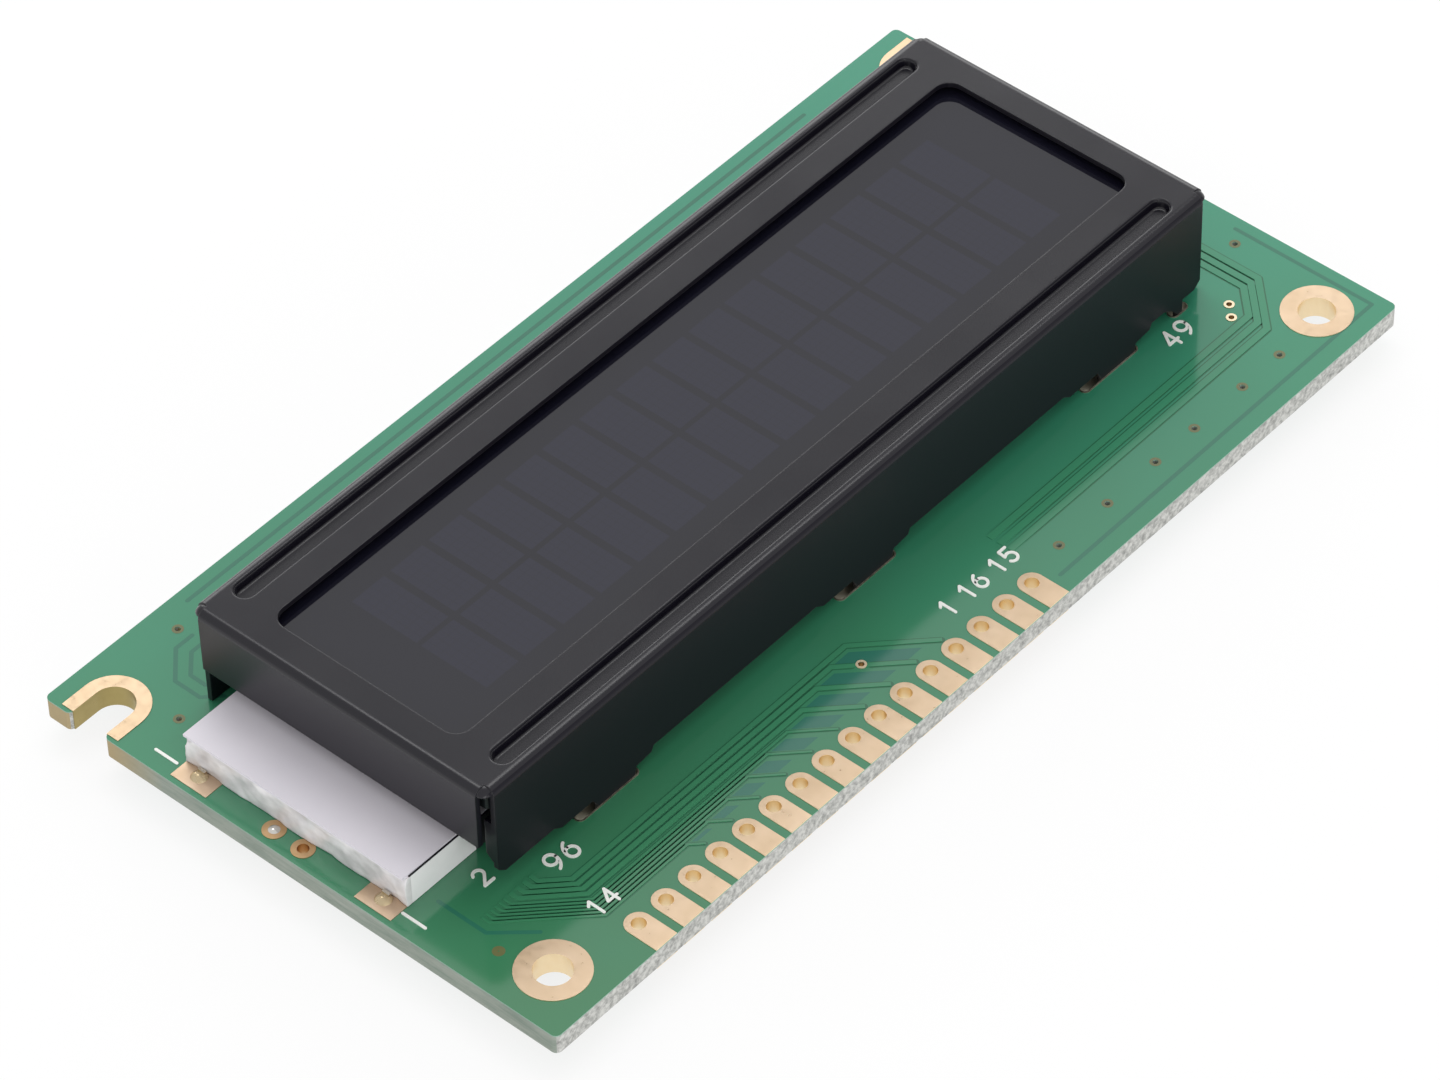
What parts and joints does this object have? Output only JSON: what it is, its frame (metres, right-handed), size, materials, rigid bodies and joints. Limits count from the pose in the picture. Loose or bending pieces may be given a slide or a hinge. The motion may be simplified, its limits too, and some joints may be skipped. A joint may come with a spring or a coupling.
{
  "type": "character lcd module",
  "caption": "Green circuit board carrying a two-line character display in a pressed black bezel, with an edge-lit backlight and a row of plated edge contacts.",
  "frame": {"origin": "on the plane the module rests on, below the centre of the circuit board", "axes": "+X along the board away from the backlight's open end, +Y away from the row of edge contacts, +Z out of the display"},
  "size_m": [0.084, 0.044, 0.0123],
  "materials": {
    "solder_mask": "glossy green solder mask over glass-fibre laminate",
    "mask_over_copper": "glossy green mask over copper tracks",
    "gold_plate": "flat immersion gold",
    "black_paint": "fine matt black paint on pressed steel",
    "polarizer_film": "glossy dark film",
    "cell_glass": "clear soda-lime glass",
    "striped_elastomer": "silicone with fine carbon layers",
    "white_plastic": "white moulded plastic",
    "clear_acrylic": "clear acrylic",
    "white_film": "satin white film",
    "phosphor": "yellow phosphor resin",
    "cloudy_resin": "cloudy poured resin",
    "white_ink": "printed numbers",
    "tinned_metal": "tinned",
    "solder": "bright solder",
    "black_resin": "smooth black resin",
    "resistor_body": "matt black",
    "capacitor_body": "tan ceramic"
  },
  "bodies": {
    "root": {"circuit_board": "solder_mask", "covered_tracks": "mask_over_copper", "edge_contacts": "gold_plate", "corner_rings": "gold_plate", "slot_liners": "gold_plate", "tab_slot_liners": "gold_plate", "ring_vias": "gold_plate", "display_contacts": "gold_plate", "backlight_pads": "gold_plate", "bezel": "black_paint", "front_polarizer": "polarizer_film", "front_glass": "cell_glass", "rear_glass": "cell_glass", "rear_polarizer": "polarizer_film", "elastomer_strip_near": "striped_elastomer", "elastomer_strip_far": "striped_elastomer", "backlight_tray": "white_plastic", "reflector_sheet": "white_plastic", "light_guide": "clear_acrylic", "diffuser_film": "white_film", "led_chips": "phosphor", "end_potting": "cloudy_resin", "backlight_terminals": "tinned_metal", "terminal_solder": "solder", "via_solder": "solder", "controller_dome": "black_resin", "driver_dome": "black_resin", "chip_resistors": "resistor_body", "chip_capacitors": "capacitor_body", "chip_end_caps": "tinned_metal"}
  },
  "joints": []
}
